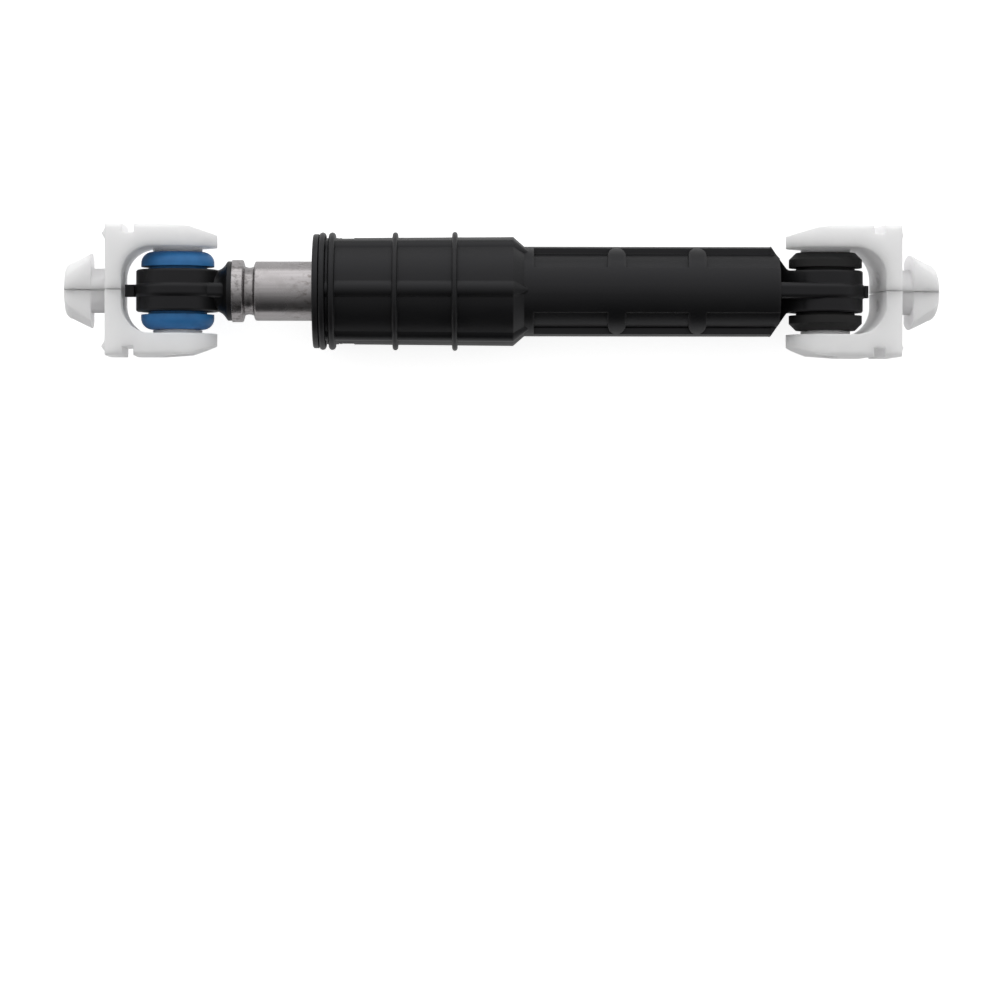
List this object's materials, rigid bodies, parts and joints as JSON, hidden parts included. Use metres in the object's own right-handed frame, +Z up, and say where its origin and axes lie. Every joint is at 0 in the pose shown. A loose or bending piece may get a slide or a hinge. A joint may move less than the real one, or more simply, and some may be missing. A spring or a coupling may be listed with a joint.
{
  "type": "washing machine shock absorber",
  "caption": "Friction shock absorber of a washing machine: ringed plastic barrel, steel plunger tube, bushed eyes and swinging quarter-turn clips that join the tub to the base.",
  "frame": {"origin": "middle of the bounding box's underside, where the barrel's rings rest", "axes": "+X along the damper from the tub end to the base end, +Y along both clip pins, +Z up; the base clip hangs 8 degrees below the damper's line"},
  "size_m": [0.2939, 0.0442, 0.04],
  "materials": {
    "black_moulding": "satin",
    "foam": "matt, greased",
    "steel": "drawn, lightly polished",
    "blue_bush": "satin",
    "black_rubber": "matt",
    "white_clip": "satin, milky"
  },
  "bodies": {
    "barrel": {"barrel": "black_moulding", "mouth_cap": "black_moulding", "base_bush_1": "black_rubber", "base_bush_2": "black_rubber"},
    "lining": {"friction_lining": "foam"},
    "plunger": {"plunger_tube": "steel", "rod_eye": "black_moulding", "tub_bush_1": "blue_bush", "tub_bush_2": "blue_bush"},
    "tub_clip": {"tub_clip_half_1": "white_clip", "tub_clip_half_2": "white_clip"},
    "base_clip": {"base_clip_half_1": "white_clip", "base_clip_half_2": "white_clip"}
  },
  "joints": [
    {"name": "plunger_twist", "type": "hinge", "parent": "barrel", "child": "lining", "pos_m": [0, 0, 0.02], "axis": [1, 0, 0], "continuous": true},
    {"name": "plunger_slide", "type": "slide", "parent": "lining", "child": "plunger", "axis": [-1, 0, 0], "range_m": [-0.018, 0.045]},
    {"name": "tub_clip_swing", "type": "hinge", "parent": "plunger", "child": "tub_clip", "pos_m": [-0.109, 0, 0.02], "axis": [0, 1, 0], "range_deg": [-100, 100]},
    {"name": "base_clip_swing", "type": "hinge", "parent": "barrel", "child": "base_clip", "pos_m": [0.109, 0, 0.02], "axis": [0, 1, 0], "range_deg": [-108, 92]}
  ]
}
